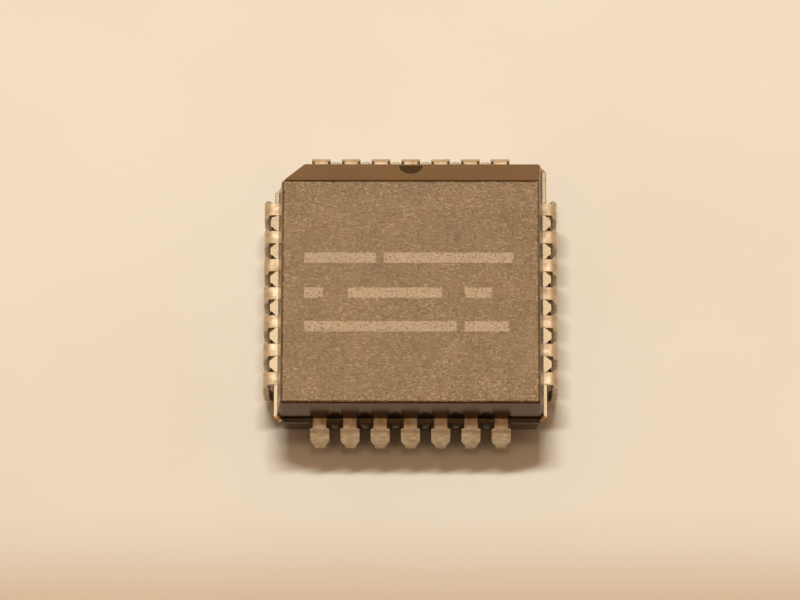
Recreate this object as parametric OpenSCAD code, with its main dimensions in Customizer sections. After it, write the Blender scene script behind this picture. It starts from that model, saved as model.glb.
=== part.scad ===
// Plastic leaded chip carrier: a square moulded package with seven J leads on each side,
// holding the silicon die of an analog multiplexer on its lead frame.
// Millimetres. The origin is the middle of the footprint on the seating plane.
// +Z points up and +Y is the side with the sloping edge and pin 1.

/* [Moulding] */
// Middle of a side's last lead to the wall of the next side
corner_room = 1.79; // [1.7:0.005:1.9]
// Seating plane to the top face
body_top = 4.4; // [4.2:0.01:4.57]
// Seating plane to the underside
standoff = 0.62; // [0.55:0.01:0.7]
// Seating plane to the parting line
part_z = 2.7; // [2.6:0.01:2.8]
// How far the ledge round the parting line stands out from the sides
ledge = 0.155; // [0.12:0.005:0.2]
// How far the tongues of the ledge between the leads stand out from the sides
tongue = 0.36; // [0.3:0.005:0.4]
// How far a side leans in for each millimetre above the ledge
draft = 0.105; // [0.08:0.005:0.13]
// How far a side leans in for each millimetre below the ledge
draft_low = 0.14; // [0.1:0.005:0.16]
// Sloping edge over pin 1, measured along Y
bevel_run = 0.98; // [0.7:0.01:1.1]
// Sloping edge over pin 1, measured down from the top face
bevel_drop = 0.62; // [0.4:0.01:0.7]
// Leg of the corner cut next to pin 1
key_cut = 1.08; // [1.07:0.01:1.22]
// Leg of the ledge's other three corner cuts
corner_cut = 0.26; // [0.24:0.01:0.4]
// Leg of those three corner cuts above and below the ledge
edge_cut = 0.17; // [0.15:0.01:0.25]
// Radius of the half-round notch over pin 1
notch_r = 0.5; // [0.35:0.01:0.6]
// Diameter of the ejector mark in the underside
mark_d = 3.2; // [2:0.1:4]

/* [Leads] */
// Spacing of the leads along a side
pitch = 1.27; // [1.2:0.01:1.35]
// Thickness of the lead frame strip
lead_t = 0.25; // [0.2:0.01:0.27]
// Width where a lead leaves the moulding
stub_w = 0.57; // [0.45:0.01:0.6]
// Width of the shoulder
shoulder_w = 0.8; // [0.66:0.01:0.81]
// Width of the foot
foot_w = 0.46; // [0.33:0.01:0.53]
// Flat length of a lead between the moulding and its upper bend
stub_len = 0.23; // [0.2:0.005:0.3]
// Outer radius of the upper bend
bend_r = 0.38; // [0.34:0.01:0.42]
// Outer radius of the J
foot_r = 0.85; // [0.75:0.01:0.9]
// Angle that the J turns through
foot_sweep = 170; // [160:1:175]

/* [Die and lead frame] */
// Paddle width, along X
paddle_w = 4.4; // [4.2:0.05:4.8]
// Paddle depth, along Y
paddle_d = 4.4; // [4.2:0.05:4.8]
// How far the paddle is pressed below the leads
downset = 0.25; // [0.2:0.01:0.35]
// Width of the bars that tie the paddle to the corners
tie_w = 0.25; // [0.2:0.01:0.3]
// Die width, along X
die_w = 2.9; // [2.4:0.05:3.4]
// Die depth, along Y
die_d = 2.5; // [2.2:0.05:3.2]
// Die thickness
die_t = 0.38; // [0.3:0.01:0.45]
// Thickness of the glue under the die
attach_t = 0.03; // [0.02:0.005:0.05]
// Space between the paddle and the lead tips
finger_gap = 0.35; // [0.28:0.01:0.45]
// Space between a tie bar and the lead tips beside it
tie_gap = 0.17; // [0.12:0.01:0.25]
// Width of a lead tip
finger_w = 0.3; // [0.22:0.01:0.34]
// Diameter of the bond wire
wire_d = 0.033; // [0.025:0.001:0.05]
// Height of the wire loop over the die
loop_h = 0.22; // [0.16:0.01:0.3]

/* [Hidden] */
$fn = 48;
side_count = 7;
lead_count = 4 * side_count;
// Pins that the multiplexer leaves open, with a lead and no bond wire.
open_pins = [2, 3, 13];
pins = [for (pin = [1:lead_count]) pin];
wired_pins = [for (pin = pins) if (len(search(pin, open_pins)) == 0) pin];

mould_colour = [0.20, 0.17, 0.15];
tin_colour = [0.86, 0.80, 0.68];
copper_colour = [0.78, 0.50, 0.32];
glue_colour = [0.66, 0.66, 0.64];
silicon_colour = [0.33, 0.35, 0.40];
gold_colour = [0.90, 0.72, 0.30];

// Longer than the package, for cutting shapes that run right through it.
through = 20;

// The pitch sets the moulding's size, and the leads stand out from it.
half_root = (side_count - 1) / 2 * pitch + corner_room;
half_ledge = half_root + ledge;
half_tongue = half_root + tongue;
bend_out = half_root + stub_len;
half_span = bend_out + bend_r;

// The lead frame straddles the parting line.
lead_high = part_z + lead_t / 2;
lead_low = part_z - lead_t / 2;

// The shoulder starts part way down the upper bend and narrows to the foot above the J.
shoulder_drop = 0.08;
foot_rise = 0.15;
taper_len = 0.6;
shoulder_z = lead_high - shoulder_drop;
foot_z = foot_r + foot_rise;
taper_z = foot_z + taper_len;
fan_steps = 4;

// Pockets in the underside take the curled lead tips with this much room round them.
tip_room = 0.1;
tip_depth = 0.55;
tip_rise = foot_r - (foot_r - lead_t) * sin(foot_sweep);

// The ledge straddles the parting line, and its tongues are the compound that ran between the leads.
// It stops just short of the leads' faces and gives their shoulders room.
ledge_shy = 0.01;
shoulder_room = 0.02;
ledge_t = lead_t - 2 * ledge_shy;
ledge_low = part_z - ledge_t / 2;
ledge_high = part_z + ledge_t / 2;
seam_low = part_z - ledge_t / 4;
seam_high = part_z + ledge_t / 4;

// Sloping edge and notch over pin 1.
bevel_z = body_top - bevel_drop;
bevel_y = half_root - draft * (bevel_z - ledge_high);
notch_step = 0.06;
notch_y = bevel_y - notch_step * bevel_run / bevel_drop;
mark_depth = 0.08;

// Lead tips run straight in from the side, then fan in to the paddle.
knee_in = 0.695;
knee_out = half_root - knee_in;
bond_in = 0.3;

// Heights of the stack on the paddle.
paddle_high = lead_high - downset;
paddle_low = lead_low - downset;
die_low = paddle_high + attach_t;
die_high = die_low + die_t;
attach_edge = 0.05;
tie_flat = 0.2;

// Bond wires: a ball on the die, a riser, one bend, and a slope down to the lead tip.
ball_d = 0.086;
ball_h = 0.026;
wire_bend = 0.08;
bend_steps = 4;
wire_sides = 8;
riser_top = max(die_high, lead_high) + loop_h - wire_bend;
pad_edge = 0.14;

function pin_name(stem, pin) = str(stem, pin < 10 ? "0" : "", pin);

// Pins count anticlockwise from the middle of the +Y side. Sides 0 to 3 face +Y, -X, -Y and +X.
function slot_of(pin) = (pin + (side_count - 1) / 2 - 1) % lead_count;
function side_of(pin) = floor(slot_of(pin) / side_count);
function step_of(pin) = (side_count - 1) / 2 - slot_of(pin) % side_count;

// A length that runs out from the middle towards a side, or along that side.
function outward(side, along_x, along_y) = side % 2 == 0 ? along_y : along_x;
function half_die(side) = outward(side, die_w, die_d) / 2;
function tip_out(side) = outward(side, paddle_w, paddle_d) / 2 + finger_gap;

// Spacing of the lead tips, so that the last tip of a side stays clear of the tie bar.
function finger_pitch(side) =
    (tip_out(side) - (tie_w / 2 + tie_gap) * sqrt(2) - finger_w / 2) / ((side_count - 1) / 2);

// Draws its children as on the +Y side, then turns them to the pin's own side.
module on_side(pin)
    rotate([0, 0, 90 * side_of(pin)])
        children();

// Stands an outline drawn as [Y, Z] up and gives it a width along X.
module stand_across(width)
    rotate([90, 0, 90])
        linear_extrude(width, center = true)
            children();

// Stands an outline drawn as [X, Z] up and gives it a depth along Y.
module stand_along(depth)
    rotate([90, 0, 0])
        linear_extrude(depth, center = true)
            children();

// A block centred on the Z axis, with its underside at a given height.
module block_on(z, width, depth, height)
    translate([-width / 2, -depth / 2, z])
        cube([width, depth, height]);

// Half outlines of the moulding above and below its ledge. Each starts inside the ledge, and its
// side leans in from the root of the ledge.
function upper_wall(root) = [
    [root + draft * (ledge_high - seam_low), seam_low],
    [root - draft * (body_top - ledge_high), body_top]
];
function sloping_wall(root) = [
    upper_wall(root)[0],
    [bevel_y, bevel_z],
    [bevel_y - bevel_run, body_top]
];
function lower_wall(root) = [
    [root - draft_low * (ledge_low - standoff), standoff],
    [root + draft_low * (seam_high - ledge_low), seam_high]
];
function across(points) = [for (i = [len(points) - 1:-1:0]) [-points[i][0], points[i][1]]];
function corner_root(cut) = (2 * half_root - cut) / sqrt(2);

// Four leaning sides with four cut corners. Takes the half outlines of a plain side, the side over
// pin 1, a plain corner and the corner next to pin 1.
module leaning_block(side, first_side, corner, first_corner)
    intersection() {
        stand_along(through)
            polygon(concat(side, across(side)));
        stand_across(through)
            polygon(concat(first_side, across(side)));
        rotate([0, 0, 45])
            stand_along(through)
                polygon(concat(corner, across(corner)));
        rotate([0, 0, -45])
            stand_along(through)
                polygon(concat(corner, across(first_corner)));
    }

module upper_block()
    leaning_block(
        upper_wall(half_root),
        sloping_wall(half_root),
        upper_wall(corner_root(edge_cut)),
        upper_wall(corner_root(key_cut))
    );

module lower_block()
    leaning_block(
        lower_wall(half_root),
        lower_wall(half_root),
        lower_wall(corner_root(edge_cut)),
        lower_wall(corner_root(key_cut))
    );

// Plan of the way that a lead's bend and shoulder take through the ledge.
module lead_way(pin) {
    half_way = shoulder_w / 2 + shoulder_room;
    on_side(pin)
        translate([step_of(pin) * pitch, bend_out])
            polygon([
                [0, -half_way],
                [half_way, 0],
                [half_way, through],
                [-half_way, through],
                [-half_way, 0]
            ]);
}

// Plan of the ledge at the corners, and of the strips that its tongues are left from.
module ledge_plan() {
    edge = half_ledge - corner_cut;
    key = half_root - key_cut;
    strip = (side_count - 1) * pitch;
    for (turn = [0, 90])
        rotate(turn)
            square([strip, 2 * half_tongue], center = true);
    polygon([
        [edge, half_ledge],
        [-key, half_ledge],
        [-half_ledge, key],
        [-half_ledge, -edge],
        [-edge, -half_ledge],
        [edge, -half_ledge],
        [half_ledge, -edge],
        [half_ledge, edge]
    ]);
}

module ledge_slab()
    translate([0, 0, ledge_low])
        linear_extrude(ledge_t)
            difference() {
                ledge_plan();
                for (pin = pins)
                    lead_way(pin);
            }

// The moulding without anything in it.
module moulding_blank() {
    upper_block();
    ledge_slab();
    lower_block();
}

module notch()
    translate([0, notch_y, bevel_z + notch_step])
        cylinder(r = notch_r, h = through);

module ejector_mark()
    translate([0, 0, standoff + mark_depth - through])
        cylinder(d = mark_d, h = through);

module tip_pocket(pin)
    on_side(pin)
        translate([
            step_of(pin) * pitch - foot_w / 2 - tip_room,
            half_span - 2 * foot_r - tip_room,
            0
        ])
            cube([foot_w + 2 * tip_room, tip_depth + tip_room, tip_rise + tip_room]);

// The part of a lead that lies flat in the parting plane, from its tip out to the upper bend.
module finger(pin) {
    side = side_of(pin);
    tip_x = step_of(pin) * finger_pitch(side);
    stub_x = step_of(pin) * pitch;
    on_side(pin)
        translate([0, 0, lead_low])
            linear_extrude(lead_t)
                polygon([
                    [tip_x - finger_w / 2, tip_out(side)],
                    [tip_x + finger_w / 2, tip_out(side)],
                    [stub_x + stub_w / 2, knee_out],
                    [stub_x + stub_w / 2, bend_out],
                    [stub_x - stub_w / 2, bend_out],
                    [stub_x - stub_w / 2, knee_out]
                ]);
}

// A band of the lead's thickness bent round the origin, between two angles. The fan that cuts it
// out of a ring reaches well past the ring's edge.
module bent_band(radius, first, last)
    intersection() {
        difference() {
            circle(radius);
            circle(radius - lead_t);
        }
        polygon(concat(
            [[0, 0]],
            [for (i = [0:fan_steps])
                let (turn = first + (last - first) * i / fan_steps)
                2 * radius * [cos(turn), sin(turn)]]
        ));
    }

// Side view of a lead outside the moulding, as [distance out, height].
module lead_side_view() {
    translate([bend_out, lead_high - bend_r])
        bent_band(bend_r, 0, 90);
    translate([half_span - lead_t, foot_r])
        square([lead_t, lead_high - bend_r - foot_r]);
    translate([half_span - foot_r, foot_r])
        bent_band(foot_r, -foot_sweep, 0);
}

// Front view of a lead outside the moulding: narrow stub, wide shoulder, narrow foot.
module lead_front_view() {
    right_edge = [
        [foot_w / 2, 0],
        [foot_w / 2, foot_z],
        [shoulder_w / 2, taper_z],
        [shoulder_w / 2, shoulder_z],
        [stub_w / 2, shoulder_z],
        [stub_w / 2, lead_high]
    ];
    polygon(concat(right_edge, across(right_edge)));
}

module lead(pin)
    color(tin_colour) {
        finger(pin);
        on_side(pin)
            translate([step_of(pin) * pitch, 0, 0])
                intersection() {
                    stand_across(shoulder_w)
                        lead_side_view();
                    stand_along(through)
                        lead_front_view();
                }
    }

// Side view of a tie bar, which runs under the die from corner to corner and climbs at both ends
// from the paddle back to the lead plane.
module tie_side_view() {
    step_in = min(paddle_w, paddle_d) / sqrt(2) + tie_flat;
    step_out = step_in + downset;
    right_half = [
        [step_in, paddle_low],
        [step_out, lead_low],
        [through / 2, lead_low],
        [through / 2, lead_high],
        [step_out, lead_high],
        [step_in, paddle_high]
    ];
    polygon(concat(right_half, across(right_half)));
}

module paddle_blank() {
    block_on(paddle_low, paddle_w, paddle_d, lead_t);
    for (corner = [45, 135])
        rotate([0, 0, corner])
            stand_along(tie_w)
                tie_side_view();
}

// The tie bars are cut off flush with the moulding.
module die_paddle()
    color(copper_colour)
        intersection() {
            paddle_blank();
            moulding_blank();
        }

module die_attach()
    color(glue_colour)
        block_on(paddle_high, die_w + 2 * attach_edge, die_d + 2 * attach_edge, attach_t);

module die()
    color(silicon_colour)
        block_on(die_low, die_w, die_d, die_t);

// Where a wire starts on the die and ends on its lead tip, as on the +Y side. The pads share the
// die's edge evenly, with one empty place at each end.
function pad_place(pin) = [
    step_of(pin) * (2 * half_die(side_of(pin) + 1) - 2 * pad_edge) / (side_count + 1),
    half_die(side_of(pin)) - pad_edge
];
function bond_place(pin) =
    let (
        side = side_of(pin),
        tip = [step_of(pin) * finger_pitch(side), tip_out(side)],
        knee = [step_of(pin) * pitch, knee_out]
    )
    tip + bond_in * (knee - tip) / norm(knee - tip);

// Slope below the horizontal that is tangent to the bend and meets the lead tip.
function wire_slope(run) =
    let (fall = riser_top - lead_high, level = run - wire_bend)
    atan2(fall, level) + asin(wire_bend / norm([fall, level]));

// Middle line of a wire in its own upright plane, as [distance along the wire, height].
function wire_line(run) = concat(
    [[0, die_high + ball_h]],
    [for (i = [0:bend_steps])
        let (turn = (90 + wire_slope(run)) * i / bend_steps)
        [wire_bend * (1 - cos(turn)), riser_top + wire_bend * sin(turn)]],
    [[run, lead_high]]
);

// Mitre of the middle line at one of its points. The two ends are cut level.
function leg_normal(line, i) =
    let (leg = line[i + 1] - line[i])
    [-leg[1], leg[0]] / norm(leg);
function mitre(line, i) =
    i == 0 ? leg_normal(line, 0) :
    i == len(line) - 1 ? [1 / leg_normal(line, i - 1)[0], 0] :
    let (before = leg_normal(line, i - 1), after = leg_normal(line, i))
    (before + after) / (1 + before * after);

// Points round a wire at one place on its middle line.
function wire_ring(place, cut, radius) = [
    for (k = [0:wire_sides - 1])
        let (turn = 360 * k / wire_sides)
        [
            place[0] + radius * sin(turn) * cut[0],
            radius * cos(turn),
            place[1] + radius * sin(turn) * cut[1]
        ]
];

// Skin over a stack of rings, with a flat face at both ends.
module ring_solid(rings) {
    last = len(rings) - 1;
    polyhedron(
        points = [for (ring = rings) each ring],
        faces = concat(
            [[for (k = [0:wire_sides - 1]) k]],
            [for (i = [0:last - 1], k = [0:wire_sides - 1])
                let (next = (k + 1) % wire_sides)
                [i, i + 1, i + 1, i] * wire_sides + [k, k, next, next]],
            [[for (k = [wire_sides - 1:-1:0]) last * wire_sides + k]]
        )
    );
}

module bond_wire(pin) {
    start = pad_place(pin);
    end = bond_place(pin);
    line = wire_line(norm(end - start));
    color(gold_colour)
        on_side(pin)
            translate([start[0], start[1], 0])
                rotate([0, 0, atan2(end[1] - start[1], end[0] - start[0])])
                    ring_solid(concat(
                        [wire_ring([0, die_high], [-1, 0], ball_d / 2)],
                        [wire_ring(line[0], [-1, 0], ball_d / 2)],
                        [for (i = [0:len(line) - 1]) wire_ring(line[i], mitre(line, i), wire_d / 2)]
                    ));
}

// The moulding is cast round everything inside it, so those shapes are cut from it as they are.
module body()
    color(mould_colour)
        difference() {
            moulding_blank();
            notch();
            ejector_mark();
            for (pin = pins) {
                tip_pocket(pin);
                finger(pin);
            }
            paddle_blank();
            die_attach();
            die();
            for (pin = wired_pins)
                bond_wire(pin);
        }

body();
for (pin = pins)
    lead(pin);
die_paddle();
die_attach();
die();
for (pin = wired_pins)
    bond_wire(pin);
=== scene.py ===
import math

import bmesh
import bpy
from mathutils import Matrix, Vector


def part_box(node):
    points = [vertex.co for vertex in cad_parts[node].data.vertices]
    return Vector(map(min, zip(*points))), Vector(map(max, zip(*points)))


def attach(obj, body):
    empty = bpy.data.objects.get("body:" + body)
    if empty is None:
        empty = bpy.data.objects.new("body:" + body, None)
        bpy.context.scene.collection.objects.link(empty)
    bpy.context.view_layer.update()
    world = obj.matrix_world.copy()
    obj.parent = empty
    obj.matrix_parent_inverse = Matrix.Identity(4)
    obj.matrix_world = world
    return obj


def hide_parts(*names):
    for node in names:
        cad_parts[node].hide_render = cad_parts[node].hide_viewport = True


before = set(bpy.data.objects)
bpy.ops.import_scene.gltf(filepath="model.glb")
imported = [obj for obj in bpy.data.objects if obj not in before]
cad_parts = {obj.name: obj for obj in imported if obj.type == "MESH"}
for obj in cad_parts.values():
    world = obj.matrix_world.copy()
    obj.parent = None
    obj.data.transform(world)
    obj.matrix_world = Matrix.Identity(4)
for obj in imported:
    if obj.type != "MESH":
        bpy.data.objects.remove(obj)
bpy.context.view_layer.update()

# Pieces are modelled in millimetres, so that the tools' small limits suit them, then brought to metres.
toMetres = 0.001
tiny = 1e-4
quarterTurn = math.radians(90)
keyTurn = math.radians(135)  # where the cut corner stands, counted from +X
diagonal = math.sqrt(0.5)  # x and y of a unit step across a corner
sideCount = 4


# sRGB hex to linear
def hexColour(code):
    parts = [int(code[i:i + 2], 16) / 255 for i in (1, 3, 5)]
    return [c / 12.92 if c <= 0.04045 else ((c + 0.055) / 1.055) ** 2.4 for c in parts] + [1.0]


def nodeBox(name):
    low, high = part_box(name)
    return low / toMetres, high / toMetres


# modelling helpers

def clearSelection():
    if bpy.context.mode != "OBJECT":
        bpy.ops.object.mode_set(mode="OBJECT")
    bpy.ops.object.select_all(action="DESELECT")


def only(piece):
    clearSelection()
    bpy.context.view_layer.objects.active = piece
    piece.select_set(True)


def edit(piece):
    only(piece)
    bpy.ops.object.mode_set(mode="EDIT")


def pick(piece, kind, test):
    bpy.ops.mesh.select_mode(type=kind)
    bpy.ops.mesh.select_all(action="DESELECT")
    shape = bmesh.from_edit_mesh(piece.data)
    parts = {"VERT": shape.verts, "EDGE": shape.edges, "FACE": shape.faces}[kind]
    for part in parts:
        if test(part):
            part.select_set(True)
    shape.select_flush_mode()
    bmesh.update_edit_mesh(piece.data)


def middle(part):
    return sum((v.co for v in part.verts), Vector()) / len(part.verts)


def addBlock(name, size, place):
    clearSelection()
    bpy.ops.mesh.primitive_cube_add(size=1, location=place)
    block = bpy.context.object
    block.name = name
    block.scale = size
    bpy.ops.object.transform_apply(location=True, rotation=True, scale=True)
    return block


def addRod(name, radius, depth, place, sides):
    clearSelection()
    bpy.ops.mesh.primitive_cylinder_add(vertices=sides, radius=radius, depth=depth, location=place)
    rod = bpy.context.object
    rod.name = name
    bpy.ops.object.transform_apply(location=True, rotation=True, scale=True)
    return rod


def join(pieces):
    only(pieces[0])
    for piece in pieces:
        piece.select_set(True)
    bpy.ops.object.join()
    return pieces[0]


# Adds the other piece to this one, or cuts it out, and uses it up.
def combine(piece, other, how):
    only(piece)
    blend = piece.modifiers.new("blend", "BOOLEAN")
    blend.operation = how
    blend.solver = "EXACT"
    blend.object = other
    bpy.ops.object.modifier_apply(modifier=blend.name)
    bpy.data.objects.remove(other)


def shiftAndTurn(piece, turn, shift=(0, 0, 0)):
    only(piece)
    piece.location = shift
    bpy.ops.object.transform_apply(location=True, rotation=False, scale=False)
    piece.rotation_euler = (0, 0, turn)
    bpy.ops.object.transform_apply(location=False, rotation=True, scale=False)


def sliceOff(place, normal):
    bpy.ops.mesh.select_all(action="SELECT")
    bpy.ops.mesh.bisect(plane_co=place, plane_no=normal, use_fill=True, clear_outer=True)


def roundEdges(piece, test, radius, steps):
    pick(piece, "EDGE", test)
    bpy.ops.mesh.bevel(offset_type="OFFSET", offset=radius, segments=steps, affect="EDGES",
                       clamp_overlap=True)


def finishPiece(piece, smoothAngle):
    only(piece)
    piece.scale = (toMetres,) * 3
    bpy.ops.object.transform_apply(location=True, rotation=True, scale=True)
    bpy.ops.object.shade_smooth_by_angle(angle=math.radians(smoothAngle))
    even = piece.modifiers.new("even", "WEIGHTED_NORMAL")
    even.keep_sharp = True
    bpy.ops.object.modifier_apply(modifier=even.name)


# The moulded body: two drafted halves that meet in a ledge at the parting line, with a slope over pin 1.
bodyLow, bodyHigh = nodeBox("body")
moulding = {
    "tongueHalf": bodyHigh.x,
    "underside": bodyLow.z,
    "top": bodyHigh.z,
    "parting": 2.7,
    "tongue": 0.36,  # how far a tongue stands out from the wall
    "ledge": 0.155,  # how far the ledge does
    "ledgeThick": 0.23,
    "draft": 0.105,  # lean of the walls for each millimetre of height
    "draftLow": 0.14,
    "slopeRun": 0.98,
    "slopeDrop": 0.62,
    "keyCut": 1.08,  # corner cuts, measured along a side
    "ledgeCut": 0.26,
    "edgeCut": 0.17,
    "topRadius": 0.12,
    "slopeRadius": 0.06,
    "tongueRadius": 0.12,
    "roundSteps": 4,
    "ledgeRadius": 0.02,
    "ledgeSteps": 1,
    "shoulderRoom": 0.02,  # between a tongue and a lead
    "flankSides": 4,
    "overlap": 0.05,  # how far each half passes the parting line
    "cutterReach": 1.0,  # enough for a cutter to pass right through the ledge
    "cornerShift": 0.1,  # the cutters at the corners stand in by this much
    "notchRadius": 0.5,
    "notchStep": 0.06,  # from the foot of the slope up to the floor of the notch
    "notchSides": 64,
    "markDiameter": 3.2,
    "markDepth": 0.08,
    "markSides": 96,
    "tieWidth": 0.25,
    "tieDepth": 0.4,
    "smoothAngle": 30,
}

# The leads: copper strip bent to a J, seven to a side.
leadHigh = nodeBox("lead_01")[1]
lead = {
    "top": leadHigh.z,
    "out": leadHigh.y,
    "perSide": 7,
    "pitch": 1.27,
    "thick": 0.25,
    "stubWidth": 0.57,
    "shoulderWidth": 0.8,
    "footWidth": 0.46,
    "bendRadius": 0.38,
    "bendSteps": 8,
    "footRadius": 0.85,
    "footSweep": 170,
    "footSteps": 16,
    "shoulderDrop": 0.08,  # the shoulder starts this far below the top of the bend
    "footRise": 0.15,  # from the J up to the taper
    "taperLength": 0.6,
    "kneeIn": 0.695,  # from the wall in to where the inner lead turns towards the die
    "tipOut": 2.55,
    "tipWidth": 0.3,
    "tipPitch": 0.6609,
    "edgeRadius": 0.025,
    "edgeSteps": 2,
    "edgeAngle": 40,
    "pocketRoom": 0.1,
    "pocketDepth": 0.55,
    "smoothAngle": 35,
}

# places worked out from those sizes
wallHalf = moulding["tongueHalf"] - moulding["tongue"]
ledgeHalf = wallHalf + moulding["ledge"]
ledgeLow = moulding["parting"] - moulding["ledgeThick"] / 2
ledgeHigh = moulding["parting"] + moulding["ledgeThick"] / 2
slopeFoot = moulding["top"] - moulding["slopeDrop"]
slopeOut = wallHalf - moulding["draft"] * (slopeFoot - ledgeHigh)
notchPlace = slopeOut - moulding["notchStep"] * moulding["slopeRun"] / moulding["slopeDrop"]
leadCount = sideCount * lead["perSide"]
midLead = (lead["perSide"] - 1) // 2
lastLead = midLead * lead["pitch"]
bendOut = lead["out"] - lead["bendRadius"]
bendHigh = lead["top"] - lead["bendRadius"]
footTop = lead["footRadius"] + lead["footRise"]
knee = wallHalf - lead["kneeIn"]


# A block whose sides lean in from one height to another, with its four corners sliced off.
def mouldBlock(name, rootHeight, rootHalf, start, end, draft, keyCut, edgeCut):
    up = 1 if end > start else -1
    startHalf = rootHalf + draft * abs(rootHeight - start)
    height = abs(end - start)
    block = addBlock(name, (2 * startHalf, 2 * startHalf, height), (0, 0, (start + end) / 2))
    edit(block)
    pick(block, "VERT", lambda v: abs(v.co.z - end) < tiny)
    narrow = 1 - draft * height / startHalf
    bpy.ops.transform.resize(value=(narrow, narrow, 1), center_override=(0, 0, end))
    for side, away, cut in ((-1, 1, keyCut), (1, 1, edgeCut), (1, -1, edgeCut), (-1, -1, edgeCut)):
        reach = rootHalf - cut / 2
        sliceOff((side * reach, away * reach, rootHeight), (side * diagonal, away * diagonal, up * draft))
    return block


# One cutter for each lead, all of one plan, set round the four sides.
def leadCutters(makeCutter):
    cutters = []
    for place in range(leadCount):
        cutter = makeCutter()
        along = (place % lead["perSide"] - midLead) * lead["pitch"]
        shiftAndTurn(cutter, quarterTurn * (place // lead["perSide"]), (along, 0, 0))
        cutters.append(cutter)
    return join(cutters)


# The ledge is cut back at the corners. Between the leads it stays long, in rounded tongues.
def makeLedge():
    spare = 2 * (moulding["tongueHalf"] - ledgeHalf)
    ledge = mouldBlock("ledge", ledgeLow, moulding["tongueHalf"], ledgeLow, ledgeHigh, 0,
                       moulding["keyCut"] + moulding["ledge"] + spare, moulding["ledgeCut"] + spare)
    bpy.ops.object.mode_set(mode="OBJECT")
    reach = moulding["cutterReach"]
    cornerMiddle = (ledgeHalf + lastLead) / 2 - moulding["cornerShift"]
    corners = []
    for side in range(sideCount):
        for end in (-1, 1):
            cutter = addBlock("cornerCutter", (ledgeHalf - lastLead, reach, reach),
                              (end * cornerMiddle, ledgeHalf + reach / 2, moulding["parting"]))
            shiftAndTurn(cutter, quarterTurn * side)
            corners.append(cutter)
    combine(ledge, join(corners), "DIFFERENCE")

    # each lead's way through, then a rod with four sides, set cornerwise, for the slanting flanks
    halfWay = lead["shoulderWidth"] / 2 + moulding["shoulderRoom"]
    way = (2 * halfWay, reach, reach)
    wayPlace = (0, bendOut + reach / 2, moulding["parting"])
    combine(ledge, leadCutters(lambda: addBlock("wayCutter", way, wayPlace)), "DIFFERENCE")
    flankPlace = (0, bendOut, moulding["parting"])
    combine(ledge, leadCutters(
        lambda: addRod("flankCutter", halfWay, reach, flankPlace, moulding["flankSides"])), "DIFFERENCE")
    edit(ledge)

    def onTip(edge):
        a, b = (v.co for v in edge.verts)
        along, out = sorted((abs(a.x), abs(a.y)))
        upright = (a - b).to_2d().length < tiny
        return upright and out > moulding["tongueHalf"] - tiny and along < lastLead

    roundEdges(ledge, onTip, moulding["tongueRadius"], moulding["roundSteps"])
    bpy.ops.object.mode_set(mode="OBJECT")
    return ledge


def level(edge, *heights):
    return any(all(abs(v.co.z - height) < tiny for v in edge.verts) for height in heights)


def makeUpperHalf():
    upper = mouldBlock("mouldedBody", ledgeHigh, wallHalf, moulding["parting"] - moulding["overlap"],
                       moulding["top"], moulding["draft"], moulding["keyCut"], moulding["edgeCut"])
    sliceOff((0, slopeOut, slopeFoot), (0, moulding["slopeDrop"], moulding["slopeRun"]))
    steps = moulding["roundSteps"]
    roundEdges(upper, lambda e: level(e, moulding["top"]), moulding["topRadius"], steps)
    roundEdges(upper, lambda e: level(e, slopeFoot) and middle(e).y > 0, moulding["slopeRadius"], steps)
    return upper


def makeLowerHalf():
    lower = mouldBlock("lowerHalf", ledgeLow, wallHalf, moulding["parting"] + moulding["overlap"],
                       moulding["underside"], moulding["draftLow"], moulding["keyCut"], moulding["edgeCut"])
    roundEdges(lower, lambda e: level(e, moulding["underside"]),
               moulding["topRadius"], moulding["roundSteps"])
    bpy.ops.object.mode_set(mode="OBJECT")
    return lower


# A pocket in the underside takes each curled lead tip, with room round it.
def pocketCutters():
    gap = lead["pocketRoom"]
    curl = math.sin(math.radians(lead["footSweep"]))
    tipHigh = lead["footRadius"] - (lead["footRadius"] - lead["thick"]) * curl
    innerFace = lead["out"] - 2 * lead["footRadius"] - gap
    size = (lead["footWidth"] + 2 * gap, lead["pocketDepth"] + gap, tipHigh + gap)
    place = (0, innerFace + size[1] / 2, size[2] / 2)
    return leadCutters(lambda: addBlock("pocketCutter", size, place))


# The ends of the four tie bars show in the corners of the ledge.
def tieCutters():
    cutters = []
    for corner in range(sideCount):
        cut = moulding["keyCut"] + moulding["ledge"] if corner == 0 else moulding["ledgeCut"]
        reach = (2 * ledgeHalf - cut) * diagonal
        cutter = addBlock(f"tieCutter{corner}", (moulding["tieDepth"], moulding["tieWidth"], lead["thick"]),
                          (reach, 0, moulding["parting"]))
        shiftAndTurn(cutter, keyTurn + quarterTurn * corner)
        cutters.append(cutter)
    return join(cutters)


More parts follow.
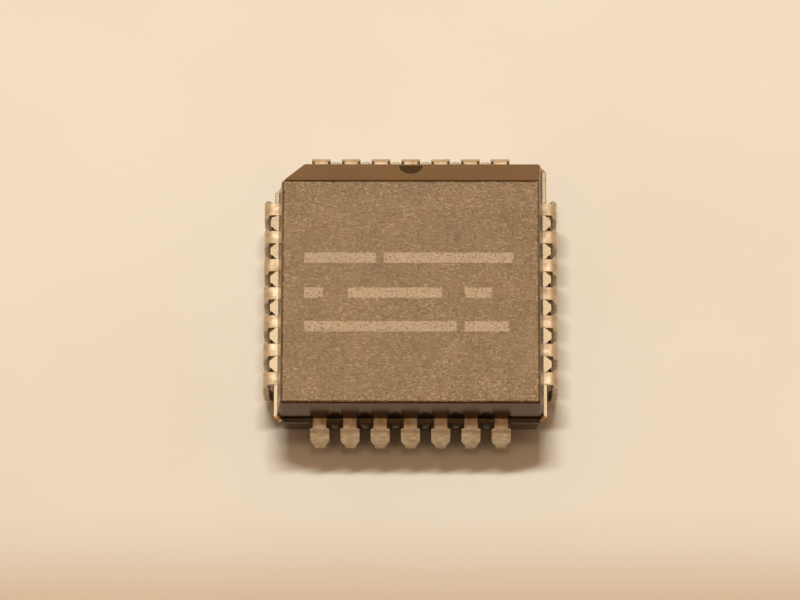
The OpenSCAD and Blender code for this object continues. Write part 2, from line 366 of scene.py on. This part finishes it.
def makeBody():
    body = makeUpperHalf()
    lower = makeLowerHalf()
    combine(body, makeLedge(), "UNION")
    combine(body, lower, "UNION")
    stub = (lead["stubWidth"], moulding["cutterReach"] + lead["kneeIn"], lead["thick"])
    stubPlace = (0, knee + stub[1] / 2, moulding["parting"])
    combine(body, leadCutters(lambda: addBlock("slotCutter", stub, stubPlace)), "DIFFERENCE")

    def onRim(edge):
        outermost = all(max(abs(v.co.x), abs(v.co.y)) > ledgeHalf - tiny for v in edge.verts)
        return outermost and level(edge, ledgeLow, ledgeHigh)

    edit(body)
    roundEdges(body, onRim, moulding["ledgeRadius"], moulding["ledgeSteps"])
    bpy.ops.object.mode_set(mode="OBJECT")
    notchHigh = 2 * moulding["slopeDrop"]
    combine(body, addRod("notchCutter", moulding["notchRadius"], notchHigh,
                         (0, notchPlace, slopeFoot + moulding["notchStep"] + notchHigh / 2),
                         moulding["notchSides"]), "DIFFERENCE")
    combine(body, addRod("markCutter", moulding["markDiameter"] / 2, 2 * moulding["markDepth"],
                         (0, 0, moulding["underside"]), moulding["markSides"]), "DIFFERENCE")
    combine(body, pocketCutters(), "DIFFERENCE")
    combine(body, tieCutters(), "DIFFERENCE")
    print("moulded body shaped", len(body.data.polygons), "faces")
    return body


def extrudeBy(step):
    bpy.ops.mesh.extrude_region_move(TRANSFORM_OT_translate={"value": step})


# One lead is bent up from a flat strip, as on the back side, and copied to its 28 places.
def makeLeadBlank():
    clearSelection()
    bpy.ops.mesh.primitive_plane_add(size=1, location=(0, knee, lead["top"] - lead["thick"] / 2),
                                     rotation=(quarterTurn, 0, 0))
    strip = bpy.context.object
    strip.name = "leadBlank"
    strip.scale = (lead["stubWidth"], lead["thick"], 1)
    bpy.ops.object.transform_apply(location=True, rotation=True, scale=True)
    edit(strip)
    bpy.ops.mesh.select_all(action="SELECT")
    extrudeBy((0, bendOut - knee, 0))

    # upper bend, then the shank in three lengths, then the J; the end face stays selected all the way
    bpy.ops.mesh.spin(steps=lead["bendSteps"], angle=quarterTurn, use_auto_merge=False,
                      center=(0, bendOut, bendHigh), axis=(1, 0, 0))
    heights = [bendHigh, footTop + lead["taperLength"], footTop, lead["footRadius"]]
    for above, below in zip(heights, heights[1:]):
        extrudeBy((0, 0, below - above))
    bpy.ops.mesh.spin(steps=lead["footSteps"], angle=math.radians(lead["footSweep"]), use_auto_merge=False,
                      center=(0, lead["out"] - lead["footRadius"], lead["footRadius"]), axis=(1, 0, 0))
    bpy.ops.mesh.select_all(action="SELECT")
    bpy.ops.mesh.normals_make_consistent(inside=False)

    # the foot is narrower than the stub, and the shoulder is wider than both
    pick(strip, "VERT", lambda v: v.co.z < footTop + tiny)
    bpy.ops.transform.resize(value=(lead["footWidth"] / lead["stubWidth"], 1, 1), center_override=(0, 0, 0))
    shoulderTurn = math.asin(1 - lead["shoulderDrop"] / lead["bendRadius"])
    grow = (lead["shoulderWidth"] - lead["stubWidth"]) / 2
    footHalf = lead["footWidth"] / 2

    def inShoulder(face):
        spot = middle(face)
        turn = math.atan2(spot.z - bendHigh, spot.y - bendOut)
        return spot.z > footTop and spot.y > bendOut and turn < shoulderTurn

    for side in (-1, 1):
        pick(strip, "FACE", lambda f: f.normal.x * side > diagonal and inShoulder(f))
        extrudeBy((side * grow, 0, 0))
        pick(strip, "VERT", lambda v: abs(v.co.z - footTop) < tiny and v.co.x * side > footHalf + tiny)
        bpy.ops.transform.translate(value=(-side * grow, 0, 0))
    bpy.ops.mesh.select_all(action="SELECT")
    bpy.ops.mesh.remove_doubles(threshold=tiny)
    bpy.ops.mesh.normals_make_consistent(inside=False)
    bpy.ops.object.mode_set(mode="OBJECT")
    return strip


def makeLead(blank, pin):
    slot = (pin + midLead - 1) % leadCount
    step = midLead - slot % lead["perSide"]
    only(blank)
    bpy.ops.object.duplicate(linked=False)
    piece = bpy.context.object
    piece.name = f"leadPlated{pin:02d}"
    edit(piece)

    # the inner lead fans in from the stub to its narrow tip by the die
    pick(piece, "FACE", lambda f: abs(middle(f).y - knee) < tiny)
    aside = step * (lead["tipPitch"] - lead["pitch"])
    extrudeBy((aside, lead["tipOut"] - knee, 0))
    narrow = lead["tipWidth"] / lead["stubWidth"]
    bpy.ops.transform.resize(value=(narrow, 1, 1), center_override=(aside, 0, 0))
    bpy.ops.object.mode_set(mode="OBJECT")
    ease = piece.modifiers.new("ease", "BEVEL")
    ease.width = lead["edgeRadius"]
    ease.segments = lead["edgeSteps"]
    ease.limit_method = "ANGLE"
    ease.angle_limit = math.radians(lead["edgeAngle"])
    bpy.ops.object.modifier_apply(modifier=ease.name)
    shiftAndTurn(piece, quarterTurn * (slot // lead["perSide"]), (step * lead["pitch"], 0, 0))
    return piece


body = makeBody()
finishPiece(body, moulding["smoothAngle"])
blank = makeLeadBlank()
leads = [makeLead(blank, pin) for pin in range(1, leadCount + 1)]
bpy.data.objects.remove(blank)
for piece in leads:
    finishPiece(piece, lead["smoothAngle"])
print("leads bent", len(leads))


# material helpers

# A Mix node that is set to colours has its colour sockets at these places.
mixShare = 0
mixFirst = 6
mixSecond = 7
mixResult = 2


def newTree(holder):
    holder.use_nodes = True
    holder.node_tree.nodes.clear()
    return holder.node_tree


# An input is a plain value, a socket to link, or a node, whose first output is linked.
def addNode(tree, kind, settings, inputs):
    node = tree.nodes.new(kind)
    for key, value in settings.items():
        setattr(node, key, value)
    for key, value in inputs.items():
        source = value.outputs[0] if isinstance(value, bpy.types.Node) else value
        if isinstance(source, bpy.types.NodeSocket):
            tree.links.new(source, node.inputs[key])
        else:
            node.inputs[key].default_value = source
    return node


def placeInMillimetres(tree):
    place = addNode(tree, "ShaderNodeTexCoord", {}, {})
    return addNode(tree, "ShaderNodeVectorMath", {"operation": "SCALE"},
                   {0: place.outputs["Object"], "Scale": 1 / toMetres})


# Epoxy filled with silica, moulded in a press: dark brown, with the finish that each part of the mould left,
# and with some painted sheen and shade in their colours.
# Sizes are in millimetres. Real mould grain is about 0.02 across, too fine to show, so it is drawn coarser.
epoxy = {
    # spark-eroded mould face: matt, rough enough to scatter the light, paler than the walls
    "epoxyGrained": {"dark": "#40311D", "pale": "#745A33", "grainSize": 0.1, "depth": 0.03,
                     "roughness": 0.25, "sheen": "#FFE0BC", "level": 0.6},
    # blasted mould face of the slope: even and calm, with a broad dull sheen, partly painted into its paler
    # base
    "epoxySatinPaintedSheen": {"dark": "#6B5439", "pale": "#7C6344", "grainSize": 0.05, "depth": 0.002,
                   "roughness": 0.38, "sheen": "#FFD9AA", "level": 0.5},
    # lapped mould walls: near black, smooth, with a warm clear reflection
    "epoxyPolished": {"dark": "#1E1711", "pale": "#2A2017", "grainSize": 0.3, "depth": 0.001,
                      "roughness": 0.2, "sheen": "#FFAA3F", "level": 0.8},
    # pins that shape the notch and the pockets: dry and dull
    "epoxyRaw": {"dark": "#3A2D1E", "pale": "#52402A", "grainSize": 0.06, "depth": 0.01,
                 "roughness": 0.85, "sheen": "#FFD9AA", "level": 0.3},
    # squeezed out at the parting line: thin, dark and shiny, and darker than the walls,
    # painted shade for the tongues that lie in the body's shadow
    "epoxyFlashPaintedShade": {"dark": "#120E0A", "pale": "#241B12", "grainSize": 0.15, "depth": 0.003,
                   "roughness": 0.26, "sheen": "#FFE4BE", "level": 0.6},
}
mottle = {
    "grainDetail": 3.0,
    "grainRoughness": 0.6,
    "cloudSize": 1.6,
    "cloudDetail": 2.0,
    "cloudShare": 0.35,
    "darkAt": 0.45,
    "paleAt": 0.9,
}

# Silica grains that break the skin of the top, pale and partly painted glints of the lamp, and dark specks,
# painted shade in pits. Real grains are up to 0.07 across, and they are drawn about twice as long, in loose
# crowds, so that they show.
fillerAndPaintedLight = {
    # pale specks: silica, and partly painted glints
    "grain": "#D0CCC8",
    "pitShade": "#1E160E",
    "size": (0.15, 0.075, 0.075),
    "detail": 1.0,
    "grainAndGlintFrom": 0.52,
    "grainAndGlintFull": 0.74,
    "crowdFrom": 0.36,
    "crowdFull": 0.64,
    "coverLow": 0.18,
    "coverHigh": 0.27,
    "pitShadeFrom": 0.44,
    "pitShadeFull": 0.28,
    "pitShadeCover": 0.36,
}


def addFillerAndPaintedLight(tree, place, cloud, colour):
    spread = addNode(tree, "ShaderNodeVectorMath", {"operation": "DIVIDE"}, {0: place, 1: fillerAndPaintedLight["size"]})
    speck = addNode(tree, "ShaderNodeTexNoise", {}, {
        "Vector": spread, "Scale": 1.0, "Detail": fillerAndPaintedLight["detail"]})
    crowd = addNode(tree, "ShaderNodeMapRange", {}, {
        "Value": cloud, "From Min": fillerAndPaintedLight["crowdFrom"], "From Max": fillerAndPaintedLight["crowdFull"],
        "To Min": fillerAndPaintedLight["coverLow"], "To Max": fillerAndPaintedLight["coverHigh"]})
    # pale specks: silica grains, and painted glints where the lamp would catch them
    grainAndGlint = addNode(tree, "ShaderNodeMapRange", {"interpolation_type": "SMOOTHSTEP"}, {
        "Value": speck, "From Min": fillerAndPaintedLight["grainAndGlintFrom"], "From Max": fillerAndPaintedLight["grainAndGlintFull"], "To Max": crowd})
    # dark specks: painted shade in pits
    paintedPitShade = addNode(tree, "ShaderNodeMapRange", {"interpolation_type": "SMOOTHSTEP"}, {
        "Value": speck, "From Min": fillerAndPaintedLight["pitShadeFrom"], "From Max": fillerAndPaintedLight["pitShadeFull"],
        "To Max": fillerAndPaintedLight["pitShadeCover"]})
    for share, code in ((grainAndGlint, fillerAndPaintedLight["grain"]), (paintedPitShade, fillerAndPaintedLight["pitShade"])):
        mixed = addNode(tree, "ShaderNodeMix", {"data_type": "RGBA"},
                        {mixShare: share, mixFirst: colour, mixSecond: hexColour(code)})
        colour = mixed.outputs[mixResult]
    return colour


# Pale ink, stamped on the grain: thin, and missing from the low spots. Plain bars stand in three rows across
# the top, each row at its y, with each bar from one x to another.
printing = {
    "ink": "#D6C8B4",
    "cover": 0.45,
    "barHigh": 0.4,
    "soft": 0.06,
    "depth": 0.1,
    "wearSize": 0.09,
    "wearDetail": 3.0,
    "goneAt": 0.3,
    "heldAt": 0.55,
    "rows": [
        (1.02, [(-4.45, -1.5), (-1.1, 4.3)]),
        (-0.55, [(-4.45, -3.7), (-2.6, 1.3), (2.3, 3.4)]),
        (-2.05, [(-4.45, 1.9), (2.3, 4.1)]),
    ],
}


# 1 on a bar's span along one axis, fading to 0 over its soft edge
def onSpan(tree, axis, start, end):
    half = (end - start) / 2
    offset = addNode(tree, "ShaderNodeMath", {"operation": "SUBTRACT"}, {0: axis, 1: (start + end) / 2})
    distance = addNode(tree, "ShaderNodeMath", {"operation": "ABSOLUTE"}, {0: offset})
    return addNode(tree, "ShaderNodeMapRange", {"interpolation_type": "SMOOTHSTEP"},
                   {"Value": distance, "From Min": half + printing["soft"], "From Max": half})


def addPrint(tree, place, colour):
    axes = addNode(tree, "ShaderNodeSeparateXYZ", {}, {"Vector": place}).outputs
    bars = 0.0
    for row, spans in printing["rows"]:
        inRow = onSpan(tree, axes["Y"], row - printing["barHigh"] / 2, row + printing["barHigh"] / 2)
        for start, end in spans:
            inBar = onSpan(tree, axes["X"], start, end)
            bar = addNode(tree, "ShaderNodeMath", {"operation": "MULTIPLY"}, {0: inRow, 1: inBar})
            bars = addNode(tree, "ShaderNodeMath", {"operation": "MAXIMUM"}, {0: bar, 1: bars})
    onTop = addNode(tree, "ShaderNodeMath", {"operation": "GREATER_THAN"},
                    {0: axes["Z"], 1: moulding["top"] - printing["depth"]})
    wear = addNode(tree, "ShaderNodeTexNoise", {}, {
        "Vector": place, "Scale": 1 / printing["wearSize"], "Detail": printing["wearDetail"]})
    held = addNode(tree, "ShaderNodeMapRange", {"interpolation_type": "SMOOTHSTEP"}, {
        "Value": wear, "From Min": printing["goneAt"], "From Max": printing["heldAt"],
        "To Max": printing["cover"]})
    topBars = addNode(tree, "ShaderNodeMath", {"operation": "MULTIPLY"}, {0: bars, 1: onTop})
    inked = addNode(tree, "ShaderNodeMath", {"operation": "MULTIPLY"}, {0: topBars, 1: held})
    mixed = addNode(tree, "ShaderNodeMix", {"data_type": "RGBA"},
                    {mixShare: inked, mixFirst: colour, mixSecond: hexColour(printing["ink"])})
    return mixed.outputs[mixResult]


def epoxyFinish(name):
    finish = epoxy[name]
    material = bpy.data.materials.new(name)
    tree = newTree(material)
    place = placeInMillimetres(tree)
    grain = addNode(tree, "ShaderNodeTexNoise", {}, {
        "Vector": place, "Scale": 1 / finish["grainSize"],
        "Detail": mottle["grainDetail"], "Roughness": mottle["grainRoughness"]})
    cloud = addNode(tree, "ShaderNodeTexNoise", {}, {
        "Vector": place, "Scale": 1 / mottle["cloudSize"], "Detail": mottle["cloudDetail"]})
    clouded = addNode(tree, "ShaderNodeMath", {"operation": "MULTIPLY_ADD"},
                      {0: cloud, 1: mottle["cloudShare"], 2: grain})
    paleness = addNode(tree, "ShaderNodeMapRange", {}, {
        "Value": clouded, "From Min": mottle["darkAt"], "From Max": mottle["paleAt"]})
    mixed = addNode(tree, "ShaderNodeMix", {"data_type": "RGBA"}, {
        mixShare: paleness, mixFirst: hexColour(finish["dark"]), mixSecond: hexColour(finish["pale"])})
    colour = mixed.outputs[mixResult]
    if name == "epoxyGrained":
        colour = addPrint(tree, place, addFillerAndPaintedLight(tree, place, cloud, colour))
    bump = addNode(tree, "ShaderNodeBump", {}, {
        "Height": grain, "Strength": 1.0, "Distance": finish["depth"] * toMetres})
    surface = addNode(tree, "ShaderNodeBsdfPrincipled", {}, {
        "Base Color": colour, "Roughness": finish["roughness"], "Normal": bump,
        "Specular Tint": hexColour(finish["sheen"]), "Specular IOR Level": finish["level"]})
    addNode(tree, "ShaderNodeOutputMaterial", {}, {"Surface": surface})
    return material


# Tin-lead plate on copper strip, from a matt bath: soft white metal with no mirror, dulled here and there.
# Its crystals are about 0.005 mm across, too fine to show, so they are drawn ten times as coarse.
plating = {
    "bright": "#E4D6BE",
    "dull": "#CFBEA0",
    "patchSize": 0.3,
    "patchDetail": 4.0,
    "dullAt": 0.35,
    "brightAt": 0.62,
    "crystalSize": 0.05,
    "crystalDetail": 2.0,
    "depth": 0.003,
    "bump": 0.6,
    "roughLow": 0.6,
    "roughHigh": 0.74,
    "roughFrom": 0.3,
    "roughTo": 0.7,
}


def tinPlate():
    material = bpy.data.materials.new("tinLeadPlate")
    tree = newTree(material)
    place = placeInMillimetres(tree)
    patch = addNode(tree, "ShaderNodeTexNoise", {}, {
        "Vector": place, "Scale": 1 / plating["patchSize"], "Detail": plating["patchDetail"]})
    crystal = addNode(tree, "ShaderNodeTexNoise", {}, {
        "Vector": place, "Scale": 1 / plating["crystalSize"], "Detail": plating["crystalDetail"]})
    shine = addNode(tree, "ShaderNodeMapRange", {}, {
        "Value": patch, "From Min": plating["dullAt"], "From Max": plating["brightAt"]})
    mixed = addNode(tree, "ShaderNodeMix", {"data_type": "RGBA"}, {
        mixShare: shine, mixFirst: hexColour(plating["dull"]), mixSecond: hexColour(plating["bright"])})
    rough = addNode(tree, "ShaderNodeMapRange", {}, {
        "Value": patch, "From Min": plating["roughFrom"], "From Max": plating["roughTo"],
        "To Min": plating["roughHigh"], "To Max": plating["roughLow"]})
    bump = addNode(tree, "ShaderNodeBump", {}, {
        "Height": crystal, "Strength": plating["bump"], "Distance": plating["depth"] * toMetres})
    surface = addNode(tree, "ShaderNodeBsdfPrincipled", {}, {
        "Base Color": mixed.outputs[mixResult], "Metallic": 1.0, "Roughness": rough, "Normal": bump})
    addNode(tree, "ShaderNodeOutputMaterial", {}, {"Surface": surface})
    return material


# What is cast in. One recipe serves all four: two shades of one colour in a mottle of its own size.
innerFinishes = {
    # rolled and stamped copper alloy, bare: brown and dull where a cut end shows
    "copperAlloyStamped": {"dark": "#7A583C", "pale": "#A0764E", "size": 0.4,
                           "metallic": 1.0, "roughness": 0.6},
    # glue full of silver flakes, cured: pale grey with a fine glint
    "silverEpoxy": {"dark": "#8E8E8A", "pale": "#C4C4BE", "size": 0.03,
                    "metallic": 0.4, "roughness": 0.55},
    # polished silicon with its circuit layers: blue grey and glossy
    "siliconDie": {"dark": "#3A4250", "pale": "#5A5F73", "size": 0.25,
                   "metallic": 0.6, "roughness": 0.2},
    # drawn gold wire: yellow and bright
    "goldWire": {"dark": "#D9A640", "pale": "#F0C766", "size": 0.1,
                 "metallic": 1.0, "roughness": 0.25},
}
innerMottle = {"detail": 3.0, "darkAt": 0.35, "paleAt": 0.65}


def innerFinish(name):
    finish = innerFinishes[name]
    material = bpy.data.materials.new(name)
    tree = newTree(material)
    noise = addNode(tree, "ShaderNodeTexNoise", {}, {
        "Vector": placeInMillimetres(tree), "Scale": 1 / finish["size"], "Detail": innerMottle["detail"]})
    paleness = addNode(tree, "ShaderNodeMapRange", {}, {
        "Value": noise, "From Min": innerMottle["darkAt"], "From Max": innerMottle["paleAt"]})
    mixed = addNode(tree, "ShaderNodeMix", {"data_type": "RGBA"}, {
        mixShare: paleness, mixFirst: hexColour(finish["dark"]), mixSecond: hexColour(finish["pale"])})
    surface = addNode(tree, "ShaderNodeBsdfPrincipled", {}, {
        "Base Color": mixed.outputs[mixResult],
        "Metallic": finish["metallic"], "Roughness": finish["roughness"]})
    addNode(tree, "ShaderNodeOutputMaterial", {}, {"Surface": surface})
    return material


# How a face's tilt and place tell which part of the mould it lay against, and which strips of the rounded
# top edge take painted light or shade.
faceTests = {
    "flat": 0.99,  # looks straight up or down
    "slopeBack": 0.4,  # the slope looks back and up by at least these
    "slopeUp": 0.6,
    "nearlyFlat": 0.8,  # the first strips of a rounded top edge
    "leaningBack": 0.15,
    "turnedBack": 0.28,  # the last strips before the slope
    "wallRoom": 0.05,  # how far inside the wall a pocket's face lies
    "slopeRoom": 0.1,
}


def epoxyOf(spot, normal):
    ends = (moulding["top"], moulding["underside"])
    if abs(normal.z) > faceTests["flat"] and min(abs(spot.z - end) for end in ends) < tiny:
        return "epoxyGrained"
    onSlope = normal.y > faceTests["slopeBack"] and normal.z > faceTests["slopeUp"]
    # The rounded top edge is one finish all round, but its strips take painted light and shade by how they
    # face: grained where nearly flat, the paler satin on the sides and where they turn back, and the dark
    # polish at the front and in a thin line just before the slope.
    if spot.z > moulding["top"] - moulding["topRadius"] - tiny and not onSlope:
        if normal.z > faceTests["nearlyFlat"] and normal.y < faceTests["leaningBack"]:
            return "epoxyGrained"
        # painted light on the side and back strips, painted shade at the front and just before the slope
        sideways = abs(normal.x) > abs(normal.y)
        return "epoxySatinPaintedSheen" if sideways or normal.y > faceTests["turnedBack"] else "epoxyPolished"
    # ledge and tongues: the flash finish, whose extra darkness is painted shade
    if ledgeLow - tiny < spot.z < ledgeHigh + tiny:
        return "epoxyFlashPaintedShade"
    nearNotch = math.hypot(spot.x, spot.y - notchPlace) < moulding["notchRadius"] + tiny
    inNotch = nearNotch and normal.y < faceTests["slopeBack"] and spot.z > moulding["parting"]
    wallAt = wallHalf - moulding["draftLow"] * (moulding["parting"] - spot.z)
    within = max(abs(spot.x), abs(spot.y)) < wallAt - faceTests["wallRoom"]
    if inNotch or within and moulding["underside"] + tiny < spot.z < ledgeLow:
        return "epoxyRaw"
    # the slope takes the satin, whose pale base is partly painted sheen
    return "epoxySatinPaintedSheen" if onSlope and spot.z > slopeFoot - faceTests["slopeRoom"] else "epoxyPolished"


body.data.materials.clear()
for name in epoxy:
    body.data.materials.append(epoxyFinish(name))
for face in body.data.polygons:
    face.material_index = list(epoxy).index(epoxyOf(face.center / toMetres, face.normal))
tin = tinPlate()
for piece in leads:
    piece.data.materials.clear()
    piece.data.materials.append(tin)

inner = {name: innerFinish(name) for name in innerFinishes}
innerOf = {"die_paddle": "copperAlloyStamped", "die_attach": "silverEpoxy", "die": "siliconDie"}
for nodeName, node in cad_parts.items():
    if nodeName == "body" or nodeName.startswith("lead_"):
        continue
    node.data.materials.clear()
    node.data.materials.append(inner[innerOf.get(nodeName, "goldWire")])
print("materials set")

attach(body, "root")
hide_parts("body")
for pin, piece in enumerate(leads, 1):
    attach(piece, "root")
    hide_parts(f"lead_{pin:02d}")


# The floor: a sheet of matt paper, pale, with a faint cloud in it, and painted shade that darkens it towards
# the camera.
# The sheet's size is in metres, and its pattern's sizes are in millimetres.
paper = {
    "pale": "#EEF0EB",
    "shade": "#EBECE6",
    # painted shade: its colour, and where along y it starts and where it is full
    "paintedShade": "#D0C0AA",
    "paintedShadeFrom": -8.2,
    "paintedShadeFull": -15.0,
    "size": 1.2,
    "cloudSize": 14.0,
    "cloudDetail": 2.0,
    "shadeAt": 0.35,
    "paleAt": 0.65,
    "roughness": 0.9,
    "level": 0.1,
}


def makeFloor():
    clearSelection()
    bpy.ops.mesh.primitive_plane_add(size=paper["size"], location=(0, 0, 0))
    floor = bpy.context.object
    floor.name = "floor"
    material = bpy.data.materials.new("paperFloor")
    tree = newTree(material)
    place = placeInMillimetres(tree)
    cloud = addNode(tree, "ShaderNodeTexNoise", {}, {
        "Vector": place, "Scale": 1 / paper["cloudSize"], "Detail": paper["cloudDetail"]})
    paleness = addNode(tree, "ShaderNodeMapRange", {}, {
        "Value": cloud, "From Min": paper["shadeAt"], "From Max": paper["paleAt"]})
    clouded = addNode(tree, "ShaderNodeMix", {"data_type": "RGBA"}, {
        mixShare: paleness, mixFirst: hexColour(paper["shade"]), mixSecond: hexColour(paper["pale"])})
    axes = addNode(tree, "ShaderNodeSeparateXYZ", {}, {"Vector": place})
    # painted shade: the paper turns to a darker colour nearer the camera
    paintedShade = addNode(tree, "ShaderNodeMapRange", {"interpolation_type": "SMOOTHSTEP"}, {
        "Value": axes.outputs["Y"], "From Min": paper["paintedShadeFrom"], "From Max": paper["paintedShadeFull"]})
    mixed = addNode(tree, "ShaderNodeMix", {"data_type": "RGBA"}, {
        mixShare: paintedShade, mixFirst: clouded.outputs[mixResult], mixSecond: hexColour(paper["paintedShade"])})
    surface = addNode(tree, "ShaderNodeBsdfPrincipled", {}, {
        "Base Color": mixed.outputs[mixResult],
        "Roughness": paper["roughness"], "Specular IOR Level": paper["level"]})
    addNode(tree, "ShaderNodeOutputMaterial", {}, {"Surface": surface})
    floor.data.materials.append(material)


# A long lamp stands behind and above, a small one hangs overhead, and the room is darker towards the camera.
# Places and sizes are in metres, and the elevation is in degrees.
lamps = {
    "keyElevation": 71.7,
    "keyAside": -0.013,
    "keyDistance": 0.3,
    "keySize": (0.12, 0.02),
    "keyPower": 0.625,
    "keyColour": "#FCF4E5",
    "ceilingPlace": (0, 0, 0.5),
    "ceilingSize": (0.06, 0.06),
    "ceilingPower": 0.18,
    "ceilingColour": "#FFD9AE",
}
room = {
    "back": "#BC9270",
    "front": "#2E2218",
    "tilt": (0, 1.0, 0.35),
    "frontAt": -0.8,
    "backAt": 0.05,
    "strength": 0.76,
}


def addLamp(name, place, size, power, colour):
    lamp = bpy.data.lights.new(name, "AREA")
    lamp.shape = "RECTANGLE"
    lamp.size, lamp.size_y = size
    lamp.energy = power
    lamp.color = hexColour(colour)[:3]
    holder = bpy.data.objects.new(name, lamp)
    bpy.context.scene.collection.objects.link(holder)
    holder.location = place
    holder.rotation_euler = (-Vector(place)).to_track_quat("-Z", "Y").to_euler()


def makeLamps():
    lift = math.radians(lamps["keyElevation"])
    reach = lamps["keyDistance"]
    keyPlace = (lamps["keyAside"], reach * math.cos(lift), reach * math.sin(lift))
    addLamp("keyLamp", keyPlace, lamps["keySize"], lamps["keyPower"], lamps["keyColour"])
    addLamp("ceilingLamp", lamps["ceilingPlace"], lamps["ceilingSize"], lamps["ceilingPower"],
            lamps["ceilingColour"])


def makeRoom():
    world = bpy.data.worlds.new("room")
    tree = newTree(world)
    aim = addNode(tree, "ShaderNodeTexCoord", {}, {})
    along = addNode(tree, "ShaderNodeVectorMath", {"operation": "DOT_PRODUCT"},
                    {0: aim.outputs["Generated"], 1: room["tilt"]})
    toBack = addNode(tree, "ShaderNodeMapRange", {"interpolation_type": "SMOOTHSTEP"}, {
        "Value": along.outputs["Value"], "From Min": room["frontAt"], "From Max": room["backAt"]})
    mixed = addNode(tree, "ShaderNodeMix", {"data_type": "RGBA"}, {
        mixShare: toBack, mixFirst: hexColour(room["front"]), mixSecond: hexColour(room["back"])})
    glow = addNode(tree, "ShaderNodeBackground", {}, {
        "Color": mixed.outputs[mixResult], "Strength": room["strength"]})
    addNode(tree, "ShaderNodeOutputWorld", {}, {"Surface": glow})
    bpy.context.scene.world = world


# The camera looks down steeply from the front. Angles are in degrees, the rest in millimetres.
shot = {
    "azimuth": -0.4528,
    "elevation": 69.862,
    "roll": -0.3742,
    "distance": 250.387,
    "aim": (-0.45, -0.0655, 2.176),
    "lens": 265.893,
    "sensor": 36.0,
    "nearest": 10.0,
    "farthest": 10000.0,
}


def makeCamera():
    turn, lift, roll = (math.radians(shot[key]) for key in ("azimuth", "elevation", "roll"))
    view = Vector((math.sin(turn) * math.cos(lift), math.cos(turn) * math.cos(lift), -math.sin(lift)))
    flat = Vector((math.cos(turn), -math.sin(turn), 0))
    upright = flat.cross(view)
    right = math.cos(roll) * flat + math.sin(roll) * upright
    up = math.cos(roll) * upright - math.sin(roll) * flat
    camera = bpy.data.objects.new("camera", bpy.data.cameras.new("camera"))
    bpy.context.scene.collection.objects.link(camera)
    place = (Vector(shot["aim"]) - shot["distance"] * view) * toMetres
    camera.matrix_world = Matrix.Translation(place) @ Matrix((right, up, -view)).transposed().to_4x4()
    camera.data.lens = shot["lens"]
    camera.data.sensor_width = shot["sensor"]
    camera.data.clip_start = shot["nearest"] * toMetres
    camera.data.clip_end = shot["farthest"] * toMetres
    bpy.context.scene.camera = camera


makeFloor()
makeLamps()
makeRoom()
makeCamera()
bpy.context.scene.view_settings.view_transform = "Standard"
print("stage, lamps and camera set")
